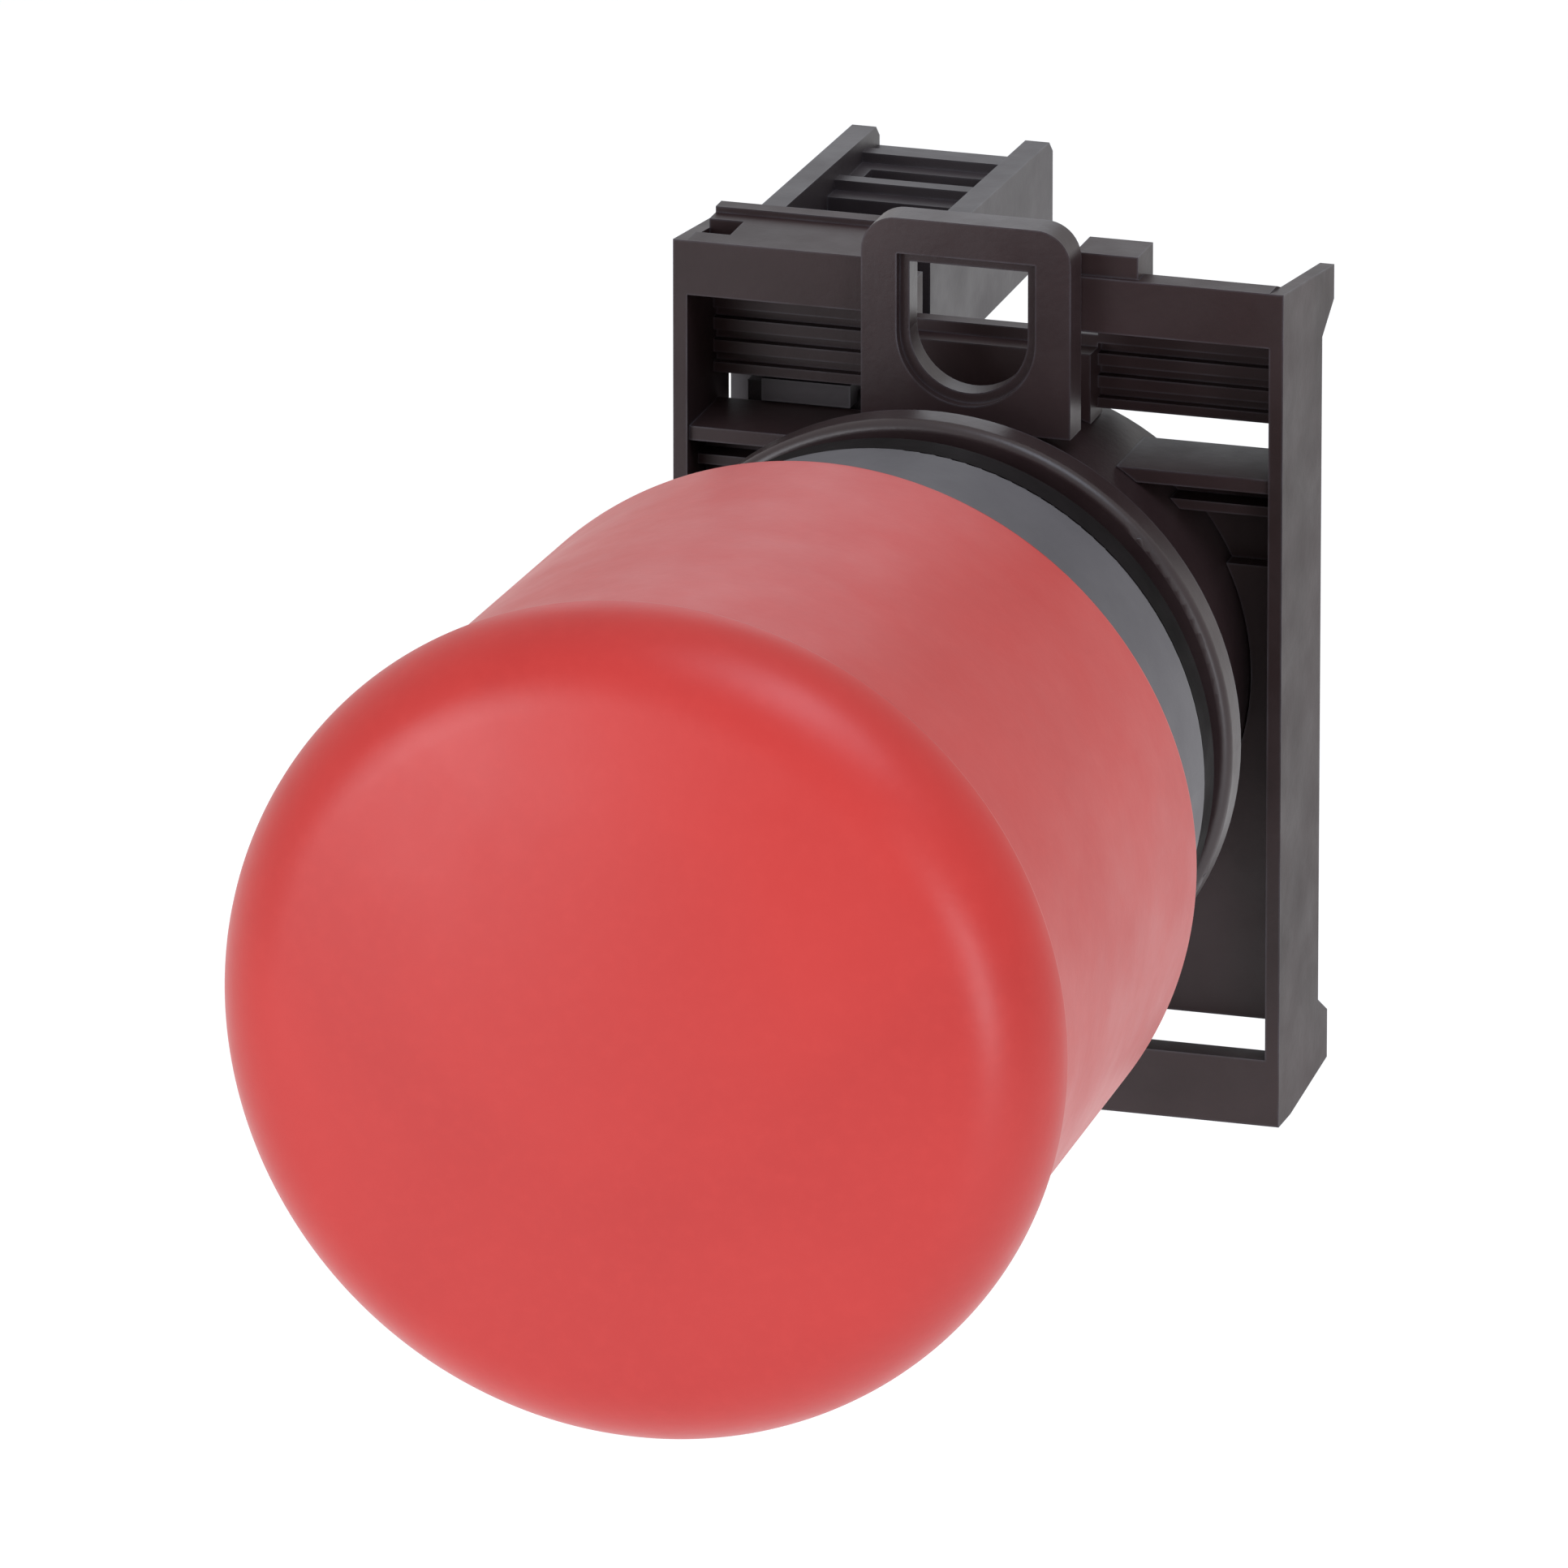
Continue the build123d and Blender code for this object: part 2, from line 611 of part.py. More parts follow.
def right_rail(x_range):
    """The top rail that slopes down behind its front edge."""
    outline = (
        (ADAPTER_FRONT_Y, TOP_RAIL_BOTTOM),
        (ADAPTER_FRONT_Y, ADAPTER_TOP),
        (RIGHT_RAIL_Y, ADAPTER_TOP),
        (RAIL_REAR_Y, RIGHT_RAIL_REAR_TOP),
        (RAIL_REAR_Y, TOP_RAIL_BOTTOM),
    )
    return side_plate(x_range, outline)


def adapter_frame():
    inner = ADAPTER_HALF_WIDTH - WALL
    frame = adapter_side((-ADAPTER_HALF_WIDTH, -inner)) + adapter_side((inner, ADAPTER_HALF_WIDTH))
    left_window = (-inner, -GAP_HALF_WIDTH)
    right_window = (GAP_HALF_WIDTH, inner)
    frame += left_rail(left_window) + upper_window(left_window)
    frame += right_rail(right_window) + upper_window(right_window)
    stop_z = (TOP_RAIL_BOTTOM, ADAPTER_TOP + STOP_HEIGHT)
    frame += brick((STOP_INNER, STOP_OUTER), (STOP_FRONT_Y, STOP_REAR_Y), stop_z)
    bridge = (-GAP_HALF_WIDTH, GAP_HALF_WIDTH)
    frame += brick(bridge, (RIBBED_WALL_Y, PLATE_REAR_Y), (PLATE_TOP, BRIDGE_WALL_TOP))
    frame += brick(bridge, (PLATE_FRONT_Y, RIBBED_WALL_Y), (PLATE_TOP, BRIDGE_LEDGE_TOP))
    plate = (PLATE_FRONT_Y, PLATE_REAR_Y)
    frame += brick((-inner, inner), plate, (PLATE_BOTTOM, PLATE_TOP))
    frame += brick(bridge, plate, (BOTTOM_RAIL_TOP, PLATE_BOTTOM))
    rail = (ADAPTER_FRONT_Y, BOTTOM_RAIL_REAR_Y)
    frame += brick((-inner, inner), rail, (ADAPTER_BOTTOM, BOTTOM_RAIL_TOP))
    foot = (ADAPTER_FRONT_Y, PLATE_REAR_Y)
    frame += brick(bridge, foot, (BOTTOM_RAIL_TOP - WALL, BOTTOM_RAIL_TOP))
    pocket = (PLATE_FRONT_Y, PLATE_FRONT_Y + POCKET_DEPTH)
    frame -= brick((POCKET_X, inner), pocket, (POCKET_BOTTOM, POCKET_TOP))
    frame -= rod(RING_HUB_RADIUS + HUB_CLEARANCE, ADAPTER_FRONT_Y, WALL_REAR_Y)
    return frame - rod(RING_SNAP_RADIUS + HUB_CLEARANCE, PLATE_REAR_Y, WALL_REAR_Y)


def block_side(x_range, front=(), rear=()):
    """One side of the block; front and rear list the (y, z) corners cut below its upper arm."""
    upper = [
        *front,
        (ARM_FRONT_Y, ARM_OUTER_FRONT),
        (BLOCK_REAR_Y - BLOCK_CORNER, ARM_OUTER_REAR),
        (BLOCK_REAR_Y, ARM_OUTER_REAR - BLOCK_CORNER),
        *rear,
    ]
    lower = [(y, -z) for y, z in reversed(upper)]
    return side_plate(x_range, upper + lower)


def block_arm():
    """What the upper arm has between its two sides: floor, walls, terminal roof and ribs."""
    inside = across_block(BLOCK_HALF_WIDTH - BLOCK_WALL)
    floor_top = ARM_INNER + ARM_FLOOR
    arm = brick(inside, (ARM_FRONT_Y, ARM_FLOOR_Y), (ARM_INNER, floor_top))
    arm += brick(inside, (ARM_FRONT_Y, ARM_FRONT_Y + BLOCK_WALL), (ARM_INNER, NOSE_TOP))
    arm += brick(inside, (BLOCK_REAR_Y - BLOCK_WALL, BLOCK_REAR_Y), (ARM_INNER, BACK_WALL_TOP))
    roof = (BACK_WALL_TOP - TERMINAL_ROOF, BACK_WALL_TOP)
    arm += brick(inside, (TERMINAL_ROOF_Y, BLOCK_REAR_Y), roof)
    arm += brick(inside, (TERMINAL_ROOF_Y, TERMINAL_ROOF_Y + BLOCK_WALL), (ARM_INNER, roof[1]))
    entry = (WIRE_ENTRY_FRONT_Y, WIRE_ENTRY_REAR_Y)
    arm -= brick(across_block(WIRE_ENTRY_HALF_WIDTH), entry, roof)
    for rib_y in ROOF_RIB_YS:
        arm += brick(inside, (rib_y, rib_y + CHANNEL_RIB), (roof[1], roof[1] + ROOF_RIB_HEIGHT))
    for index in range(CHANNEL_RIB_COUNT):
        rib_y = CHANNEL_RIB_FIRST_Y + index * CHANNEL_RIB_PITCH
        rib = (rib_y, rib_y + CHANNEL_RIB)
        arm += brick(inside, rib, (floor_top, floor_top + CHANNEL_RIB_HEIGHT))
    return arm


def block_hooks():
    across = across_block(HOOK_HALF_WIDTH)
    hooks = brick(across, (WALL_REAR_Y, ARM_FRONT_Y), (NOSE_BOTTOM, NOSE_TOP))
    hooks += brick(across, (HOOK_TIP_Y, ARM_FRONT_Y), (HOOK_BOTTOM, HOOK_TOP))
    inside = across_block(BLOCK_HALF_WIDTH - BLOCK_WALL)
    hooks += brick(inside, (ARM_FRONT_Y, ARM_FRONT_Y + BLOCK_WALL), (HOOK_BOTTOM, -NOSE_TOP))
    tip_y = (HOOK_TIP_Y, PLATE_FRONT_Y - HOOK_GAP)
    return hooks + brick(across, tip_y, (HOOK_TOP, HOOK_TOP + HOOK_TIP))


def block_housing():
    left = BLOCK_X - BLOCK_HALF_WIDTH
    inside = across_block(BLOCK_HALF_WIDTH - BLOCK_WALL)
    body = block_side((left, left + BLOCK_WALL))
    front = (CHAMBER_FRONT_Y, CHAMBER_FRONT_Y + BLOCK_WALL)
    rear = (CHAMBER_REAR_Y - BLOCK_WALL, CHAMBER_REAR_Y)
    for wall in (front, rear):
        body += brick(inside, wall, (-CHAMBER_HALF, CHAMBER_HALF))
    chamber = (CHAMBER_FRONT_Y, CHAMBER_REAR_Y)
    roof = brick(inside, chamber, (CHAMBER_HALF - CHAMBER_ROOF, CHAMBER_HALF))
    body += roof + mirrored(roof) + block_arm() + mirrored(block_arm()) + block_hooks()
    grown_width = across_block(PLUNGER_HALF_WIDTH + PLUNGER_GAP)
    grown_height = PLUNGER_HALF_HEIGHT + PLUNGER_GAP
    body -= brick(grown_width, front, (-grown_height, grown_height))
    strip_width = across_block(STRIP_HALF_WIDTH)
    strip_y = (STRIP_LEG_Y, STRIP_LEG_Y + STRIP)
    for side in (1, -1):
        slot = sorted((side * (CHAMBER_HALF - CHAMBER_ROOF), side * CHAMBER_HALF))
        body -= brick(strip_width, strip_y, slot)
        hole_y = (BLOCK_REAR_Y - BLOCK_WALL, BLOCK_REAR_Y)
        body -= rod(TERMINAL_HOLE_RADIUS, *hole_y, BLOCK_X, side * TERMINAL_Z)
    return body


def block_cover():
    right = BLOCK_X + BLOCK_HALF_WIDTH
    front = ((CHAMBER_FRONT_Y, ARM_INNER), (ARM_FRONT_Y, ARM_INNER))
    rear = (
        (BLOCK_REAR_Y, ARM_INNER),
        (COVER_WEB_Y, ARM_INNER),
        (COVER_WEB_Y, CHAMBER_HALF),
        (CHAMBER_REAR_Y, CHAMBER_HALF),
    )
    return block_side((right - BLOCK_WALL, right), front, rear)


def release_latch():
    across = across_block(HOOK_HALF_WIDTH)
    bar_z = (LATCH_BOTTOM, LATCH_TOP)
    latch = brick(across, (LATCH_BAR_Y, LATCH_REAR_Y), bar_z)
    nose_y = (LATCH_FRONT_Y, LATCH_BAR_Y + LATCH_NOSE_BACK)
    nose_z = (LATCH_NOSE_BOTTOM, LATCH_NOSE_TOP)
    latch += brick(across_block(LATCH_NOSE_HALF), nose_y, nose_z)
    return latch - brick(across_block(LATCH_FORK_HALF), (LATCH_FORK_Y, LATCH_REAR_Y), bar_z)


def block_plunger():
    height = (-PLUNGER_HALF_HEIGHT, PLUNGER_HALF_HEIGHT)
    bar = brick(across_block(PLUNGER_HALF_WIDTH), (PLUNGER_TIP_Y, PLUNGER_SHOULDER_Y), height)
    bar += rod(PLUNGER_TAIL_RADIUS, PLUNGER_SHOULDER_Y, PLUNGER_TAIL_Y, BLOCK_X)
    return bar - contact_bridge()


def contact_bridge():
    thickness = (BRIDGE_FRONT_Y, BRIDGE_FRONT_Y + BRIDGE_THICKNESS)
    length = (-BRIDGE_HALF_LENGTH, BRIDGE_HALF_LENGTH)
    return brick(across_block(BRIDGE_HALF_WIDTH), thickness, length)


def contact_tips(front_y):
    tips = [rod(TIP_RADIUS, front_y, front_y + TIP_HEIGHT, BLOCK_X, z) for z in (-TIP_Z, TIP_Z)]
    return Compound(children=tips)


def contact_spring():
    return coil(
        CONTACT_SPRING_RADIUS,
        CONTACT_SPRING_WIRE,
        CONTACT_SPRING_TURNS,
        PLUNGER_SHOULDER_Y,
        CHAMBER_REAR_Y - BLOCK_WALL,
        BLOCK_X,
    )


def fixed_contact():
    """Upper contact strip: contact leg, run along the chamber roof, then up to its terminal."""
    roof = CHAMBER_HALF - CHAMBER_ROOF - STRIP_ROOF_GAP
    contact_rear = STRIP_CONTACT_Y + STRIP
    outline = (
        (STRIP_CONTACT_Y, STRIP_CONTACT_Z),
        (STRIP_CONTACT_Y, roof),
        (STRIP_LEG_Y, roof),
        (STRIP_LEG_Y, STRIP_TOP),
        (STRIP_LEG_Y + STRIP, STRIP_TOP),
        (STRIP_LEG_Y + STRIP, roof - STRIP),
        (contact_rear, roof - STRIP),
        (contact_rear, STRIP_CONTACT_Z),
    )
    strip = side_plate(across_block(STRIP_HALF_WIDTH), outline)
    hole = TERMINAL_SHANK_RADIUS + TERMINAL_SHANK_GAP
    return strip - rod(hole, STRIP_LEG_Y, STRIP_LEG_Y + STRIP, BLOCK_X, TERMINAL_Z)


def terminal_clamp():
    thickness = (CLAMP_FRONT_Y, CLAMP_FRONT_Y + CLAMP_THICKNESS)
    plate = brick(across_block(CLAMP_HALF_WIDTH), thickness, (CLAMP_BOTTOM, CLAMP_TOP))
    return plate - rod(TERMINAL_SHANK_RADIUS, *thickness, BLOCK_X, TERMINAL_Z)


def terminal_screw():
    head_front = CLAMP_FRONT_Y + CLAMP_THICKNESS
    head_rear = head_front + TERMINAL_HEAD_HEIGHT
    screw = rod(TERMINAL_SHANK_RADIUS, TERMINAL_FRONT_Y, head_front, BLOCK_X, TERMINAL_Z)
    screw += rod(TERMINAL_HEAD_RADIUS, head_front, head_rear, BLOCK_X, TERMINAL_Z)
    half_slot = TERMINAL_SLOT / 2
    slot_z = (TERMINAL_Z - half_slot, TERMINAL_Z + half_slot)
    depth = (head_rear - RECESS_DEPTH, head_rear)
    return screw - brick(across_block(TERMINAL_HEAD_RADIUS), depth, slot_z)


NODES = {
    "mushroom_cap": mushroom_cap(),
    "cap_insert": cap_insert(),
    "head_screw": head_screw(),
    "stem": stem(),
    "stem_pin": cross_pin(),
    "pusher_plate": pusher_plate(),
    "head_spring": head_spring(),
    "stem_seal": stem_seal(),
    "operator_barrel": operator_barrel(),
    "bezel_collar": bezel_collar(),
    "panel_gasket": panel_gasket(),
    "detent_balls": detent_balls(),
    "detent_spring": detent_spring(),
    "lock_ring": lock_ring(),
    "adapter_frame": adapter_frame(),
    "block_housing": block_housing(),
    "block_cover": block_cover(),
    "release_latch": release_latch(),
    "block_plunger": block_plunger(),
    "contact_bridge": contact_bridge(),
    "moving_contact_tips": contact_tips(BRIDGE_FRONT_Y - TIP_HEIGHT),
    "contact_spring": contact_spring(),
    "fixed_contact_upper": fixed_contact(),
    "fixed_contact_lower": mirrored(fixed_contact()),
    "fixed_contact_tips": contact_tips(STRIP_CONTACT_Y + STRIP),
    "terminal_clamp_upper": terminal_clamp(),
    "terminal_clamp_lower": mirrored(terminal_clamp()),
    "terminal_screw_upper": terminal_screw(),
    "terminal_screw_lower": mirrored(terminal_screw()),
}

os.makedirs("parts", exist_ok=True)
for node, shape in NODES.items():
    export_step(shape, f"parts/{node}.step")
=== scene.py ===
import json
import math

import bpy
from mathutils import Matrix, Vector


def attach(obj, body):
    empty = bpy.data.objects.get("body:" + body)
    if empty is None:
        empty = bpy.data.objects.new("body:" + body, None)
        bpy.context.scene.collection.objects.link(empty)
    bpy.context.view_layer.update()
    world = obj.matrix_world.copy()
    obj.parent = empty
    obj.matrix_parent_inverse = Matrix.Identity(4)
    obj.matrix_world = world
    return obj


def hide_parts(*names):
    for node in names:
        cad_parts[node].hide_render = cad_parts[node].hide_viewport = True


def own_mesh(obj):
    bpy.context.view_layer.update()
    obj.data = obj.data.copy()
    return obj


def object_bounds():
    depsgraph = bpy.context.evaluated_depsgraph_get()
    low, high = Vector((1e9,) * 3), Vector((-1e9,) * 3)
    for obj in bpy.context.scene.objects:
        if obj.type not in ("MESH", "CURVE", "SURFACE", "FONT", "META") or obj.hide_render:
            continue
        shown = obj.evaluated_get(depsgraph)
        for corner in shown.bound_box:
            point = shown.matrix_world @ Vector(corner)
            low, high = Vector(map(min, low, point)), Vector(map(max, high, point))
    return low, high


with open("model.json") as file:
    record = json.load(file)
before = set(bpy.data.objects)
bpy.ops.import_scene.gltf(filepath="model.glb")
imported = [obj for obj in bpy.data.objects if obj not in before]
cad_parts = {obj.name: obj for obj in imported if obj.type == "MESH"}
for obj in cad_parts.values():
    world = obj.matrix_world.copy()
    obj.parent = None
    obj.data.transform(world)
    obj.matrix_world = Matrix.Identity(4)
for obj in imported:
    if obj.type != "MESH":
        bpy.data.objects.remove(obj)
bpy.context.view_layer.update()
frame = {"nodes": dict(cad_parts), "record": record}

# The frame is in metres: +Y runs along the button's axis into the panel, and +Z is up.
MM = 0.001

# The cap's outline in millimetres: radii, and places along Y
CAP_FRONT = -48.0
CAP_REAR = -13.5
CROWN_RADIUS = 20.0
CROWN_REAR = -41.3
CROWN_EDGE_RADIUS = 4.8
DOME_RADIUS = 75.0
LIP_RADIUS = 0.45
SKIRT_FRONT = -40.3
SKIRT_FRONT_RADIUS = 18.9
SKIRT_REAR_RADIUS = 18.1
SKIRT_EDGE_RADIUS = 0.6
BORE_RADIUS = 16.6
BORE_EDGE_RADIUS = 0.15
ROOF = -45.6
ROOF_CORNER = 1.5
HUB_REAR = -38.0
HUB_RADIUS = 7.0
HUB_BORE = 5.5

# The pitch of a spring's closed end turns in wire radii
CLOSED_PITCH = 2.2

# How finely the turned and coiled pieces are divided
LATHE_SEGMENTS = 256
DOME_STEPS = 40
ARC_STEPS = 10
COIL_STEPS = 56
WIRE_SEGMENTS = 18

# Camera: aimed at a point inside the collar, a long lens from the front right and above.
CAMERA_AIM = Vector((-3.4, -9.0, 0.45)) * MM
CAMERA_AZIMUTH = math.radians(17.0)
CAMERA_ELEVATION = math.radians(18.7)
CAMERA_DISTANCE = 1.31
VIEW_WIDTH = 73.2 * MM
SENSOR_WIDTH = 36.0

# In metres: how far the floor lies under the object, its side, and the bevel of moulded edges
FLOOR_DROP = 0.26
FLOOR_SIZE = 12.0
EDGE_WIDTH = 0.12 * MM


# ---------------------------------------------------------------- node helpers

class Nodes:
    """A material's node tree, with short calls for the nodes that the materials share."""

    def __init__(self, name):
        self.material = bpy.data.materials.new(name)
        self.material.use_nodes = True
        self.tree = self.material.node_tree
        self.tree.nodes.clear()
        self.output = self.tree.nodes.new("ShaderNodeOutputMaterial")
        self.shader = self.tree.nodes.new("ShaderNodeBsdfPrincipled")
        self.tree.links.new(self.shader.outputs["BSDF"], self.output.inputs["Surface"])
        self.place = self.tree.nodes.new("ShaderNodeTexCoord").outputs["Object"]

    def link(self, source, target):
        self.tree.links.new(source, target)

    def stretched(self, scale):
        mapping = self.tree.nodes.new("ShaderNodeMapping")
        mapping.inputs["Scale"].default_value = scale
        self.link(self.place, mapping.inputs["Vector"])
        return mapping.outputs["Vector"]

    def noise(self, scale, detail=2.0, roughness=0.5, distortion=0.0, place=None):
        node = self.tree.nodes.new("ShaderNodeTexNoise")
        node.inputs["Scale"].default_value = scale
        node.inputs["Detail"].default_value = detail
        node.inputs["Roughness"].default_value = roughness
        node.inputs["Distortion"].default_value = distortion
        self.link(place or self.place, node.inputs["Vector"])
        return node.outputs["Fac"]

    def spread(self, value, low, high, to_low=0.0, to_high=1.0):
        node = self.tree.nodes.new("ShaderNodeMapRange")
        node.clamp = True
        node.inputs["From Min"].default_value = low
        node.inputs["From Max"].default_value = high
        node.inputs["To Min"].default_value = to_low
        node.inputs["To Max"].default_value = to_high
        self.link(value, node.inputs["Value"])
        return node.outputs["Result"]

    def math(self, kind, first, second):
        node = self.tree.nodes.new("ShaderNodeMath")
        node.operation = kind
        for socket, value in zip(node.inputs, (first, second)):
            if isinstance(value, (int, float)):
                socket.default_value = value
            else:
                self.link(value, socket)
        return node.outputs["Value"]

    def mix(self, factor, first, second):
        node = self.tree.nodes.new("ShaderNodeMix")
        node.data_type = "RGBA"
        self.link(factor, node.inputs["Factor"])
        for socket, value in ((node.inputs[6], first), (node.inputs[7], second)):
            if isinstance(value, tuple):
                socket.default_value = (*value, 1.0)
            else:
                self.link(value, socket)
        return node.outputs[2]

    def edges(self, radius):
        """1 along convex and concave edges within the radius, 0 on flat ground."""
        soft = self.tree.nodes.new("ShaderNodeBevel")
        soft.samples = 4
        soft.inputs["Radius"].default_value = radius
        true = self.tree.nodes.new("ShaderNodeNewGeometry")
        dot = self.tree.nodes.new("ShaderNodeVectorMath")
        dot.operation = "DOT_PRODUCT"
        self.link(soft.outputs["Normal"], dot.inputs[0])
        self.link(true.outputs["Normal"], dot.inputs[1])
        return self.spread(dot.outputs["Value"], 0.999, 0.9)

    def bump(self, heights):
        """Chains (height, distance in metres, strength) into the shader's normal."""
        previous = None
        for height, distance, strength in heights:
            node = self.tree.nodes.new("ShaderNodeBump")
            node.inputs["Distance"].default_value = distance
            node.inputs["Strength"].default_value = strength
            self.link(height, node.inputs["Height"])
            if previous is not None:
                self.link(previous, node.inputs["Normal"])
            previous = node.outputs["Normal"]
        self.link(previous, self.shader.inputs["Normal"])

    def set(self, **values):
        """Sets inputs of the shader by name, with _ for each space."""
        for name, value in values.items():
            self.shader.inputs[name.replace("_", " ")].default_value = value


# ---------------------------------------------------------------- materials

def moulded_plastic(name, dark, light, edge_highlight, rough, gloss=0.5):
    """Moulded plastic: cloudy colour, a fine spark-eroded grain, faint flow marks, and paler edges
    that are a painted highlight.
    """
    nodes = Nodes(name)
    cloud = nodes.spread(nodes.noise(95.0, 4.0, 0.55, 0.4), 0.32, 0.68)
    body = nodes.mix(cloud, dark, light)
    speckle = nodes.spread(nodes.noise(1500.0, 2.0, 0.6), 0.45, 0.8, 0.0, 0.22)
    body = nodes.mix(speckle, body, light)
    # Painted highlight: edges mixed towards the lightest colour, stronger in random patches.
    patches = nodes.spread(nodes.noise(420.0, 3.0), 0.3, 0.7, 0.15, 0.7)
    edge_highlight_mask = nodes.math("MULTIPLY", nodes.edges(0.16 * MM), patches)
    nodes.link(nodes.mix(edge_highlight_mask, body, edge_highlight), nodes.shader.inputs["Base Color"])
    matte = nodes.spread(nodes.noise(260.0, 3.0, 0.6), 0.3, 0.7, rough - 0.05, rough + 0.06)
    nodes.link(matte, nodes.shader.inputs["Roughness"])
    flow = nodes.noise(55.0, 2.0, 0.5, 1.2, nodes.stretched((1.0, 1.0, 4.0)))
    grain = nodes.noise(2400.0, 3.0, 0.65)
    nodes.bump(((grain, 0.018 * MM, 0.5), (flow, 0.10 * MM, 0.12)))
    nodes.set(IOR=1.5, Specular_IOR_Level=gloss)
    return nodes.material


def red_cap_plastic():
    """Satin red plastic of the cap: slightly cloudy red, faint mould marks along the axis."""
    nodes = Nodes("red_cap_plastic")
    cloud = nodes.spread(nodes.noise(60.0, 3.0, 0.5, 0.6), 0.3, 0.7)
    body = nodes.mix(cloud, (0.435, 0.013, 0.010), (0.485, 0.018, 0.014))
    fine = nodes.spread(nodes.noise(1300.0, 2.0, 0.6), 0.45, 0.8, 0.0, 0.25)
    body = nodes.mix(fine, body, (0.53, 0.027, 0.021))
    nodes.link(body, nodes.shader.inputs["Base Color"])
    matte = nodes.spread(nodes.noise(210.0, 4.0, 0.6), 0.3, 0.7, 0.34, 0.42)
    nodes.link(matte, nodes.shader.inputs["Roughness"])
    streak = nodes.noise(150.0, 3.0, 0.6, 0.3, nodes.stretched((1.0, 0.06, 1.0)))
    grain = nodes.noise(2100.0, 3.0, 0.65)
    nodes.bump(((grain, 0.012 * MM, 0.45), (streak, 0.05 * MM, 0.12)))
    nodes.set(IOR=1.5, Specular_IOR_Level=0.55)
    nodes.set(Subsurface_Weight=0.05, Subsurface_Radius=(0.0012, 0.0003, 0.0002))
    return nodes.material


def rubber(name, dark, light):
    """Matte rubber: dusty bloom and a coarse, soft grain."""
    nodes = Nodes(name)
    bloom = nodes.spread(nodes.noise(180.0, 5.0, 0.6, 0.5), 0.35, 0.75)
    nodes.link(nodes.mix(bloom, dark, light), nodes.shader.inputs["Base Color"])
    matte = nodes.spread(nodes.noise(320.0, 3.0), 0.3, 0.7, 0.62, 0.82)
    nodes.link(matte, nodes.shader.inputs["Roughness"])
    nodes.bump(((nodes.noise(1600.0, 4.0, 0.7), 0.03 * MM, 0.5),))
    nodes.set(Specular_IOR_Level=0.08)
    return nodes.material


def metal(name, bright, dull, rough, lines=(1.0, 1.0, 1.0)):
    """Metal: duller patches, edges painted brighter as a highlight, and a grain that lines can
    stretch.
    """
    nodes = Nodes(name)
    patch = nodes.spread(nodes.noise(240.0, 4.0, 0.6, 0.4), 0.35, 0.7)
    body = nodes.mix(patch, bright, dull)
    # Painted highlight: edges take the bright colour.
    nodes.link(nodes.mix(nodes.edges(0.1 * MM), body, bright), nodes.shader.inputs["Base Color"])
    drawn = nodes.noise(900.0, 3.0, 0.6, 0.0, nodes.stretched(lines))
    matte = nodes.spread(drawn, 0.3, 0.7, rough - 0.06, rough + 0.1)
    nodes.link(matte, nodes.shader.inputs["Roughness"])
    nodes.bump(((drawn, 0.01 * MM, 0.4),))
    nodes.set(Metallic=1.0)
    return nodes.material


def floor_paint():
    """White floor with a little glow of its own, so that it stays even from every side."""
    nodes = Nodes("pale_floor")
    nodes.set(Emission_Color=(1.0, 1.0, 1.0, 1.0), Emission_Strength=0.21)
    shade = nodes.spread(nodes.noise(3.0, 3.0), 0.3, 0.7)
    body = nodes.mix(shade, (0.93, 0.93, 0.93), (0.96, 0.96, 0.96))
    nodes.link(body, nodes.shader.inputs["Base Color"])
    matte = nodes.spread(nodes.noise(40.0), 0.3, 0.7, 0.7, 0.9)
    nodes.link(matte, nodes.shader.inputs["Roughness"])
    return nodes.material


# The lightest colour of each plastic is painted along its edges as a highlight.
PLASTICS = {
    "black_plastic": dict(
        dark=(0.014, 0.012, 0.013), light=(0.026, 0.023, 0.025), edge_highlight=(0.07, 0.065, 0.07),
        rough=0.48,
    ),
    "adapter_plastic": dict(
        dark=(0.018, 0.009, 0.009), light=(0.032, 0.017, 0.018), edge_highlight=(0.09, 0.084, 0.098),
        rough=0.46, gloss=0.34,
    ),
    "ring_plastic": dict(
        dark=(0.019, 0.01, 0.011), light=(0.032, 0.019, 0.02), edge_highlight=(0.09, 0.085, 0.1),
        rough=0.36,
    ),
    "block_plastic": dict(
        dark=(0.024, 0.018, 0.021), light=(0.04, 0.032, 0.036), edge_highlight=(0.095, 0.09, 0.1),
        rough=0.44,
    ),
    "grey_collar": dict(
        dark=(0.072, 0.068, 0.075), light=(0.096, 0.091, 0.1), edge_highlight=(0.14, 0.14, 0.15),
        rough=0.5,
    ),
    "natural_plastic": dict(
        dark=(0.58, 0.55, 0.47), light=(0.66, 0.64, 0.57), edge_highlight=(0.74, 0.73, 0.68),
        rough=0.45,
    ),
}
METALS = {
    "zinc_steel": dict(bright=(0.72, 0.73, 0.74), dull=(0.52, 0.53, 0.54), rough=0.3),
    "spring_steel": dict(bright=(0.62, 0.62, 0.63), dull=(0.4, 0.4, 0.42), rough=0.26),
    "contact_brass": dict(
        bright=(0.78, 0.57, 0.26), dull=(0.6, 0.42, 0.18), rough=0.3, lines=(1.0, 1.0, 0.05),
    ),
    "contact_silver": dict(bright=(0.9, 0.89, 0.86), dull=(0.7, 0.68, 0.63), rough=0.28),
}
MATERIALS = {slot: moulded_plastic(slot, **look) for slot, look in PLASTICS.items()}
MATERIALS.update({slot: metal(slot, **look) for slot, look in METALS.items()})
MATERIALS["red_cap"] = red_cap_plastic()
MATERIALS["black_rubber"] = rubber("black_rubber", (0.005, 0.004, 0.004), (0.013, 0.01, 0.011))
NODE_SLOT = {part["node"]: part["material_slot"] for part in frame["record"]["subparts"]}


def paint(piece, slot):
    """Gives a piece its slot's material."""
    piece.data.materials.clear()
    piece.data.materials.append(MATERIALS[slot])


# ---------------------------------------------------------------- camera, lights, floor

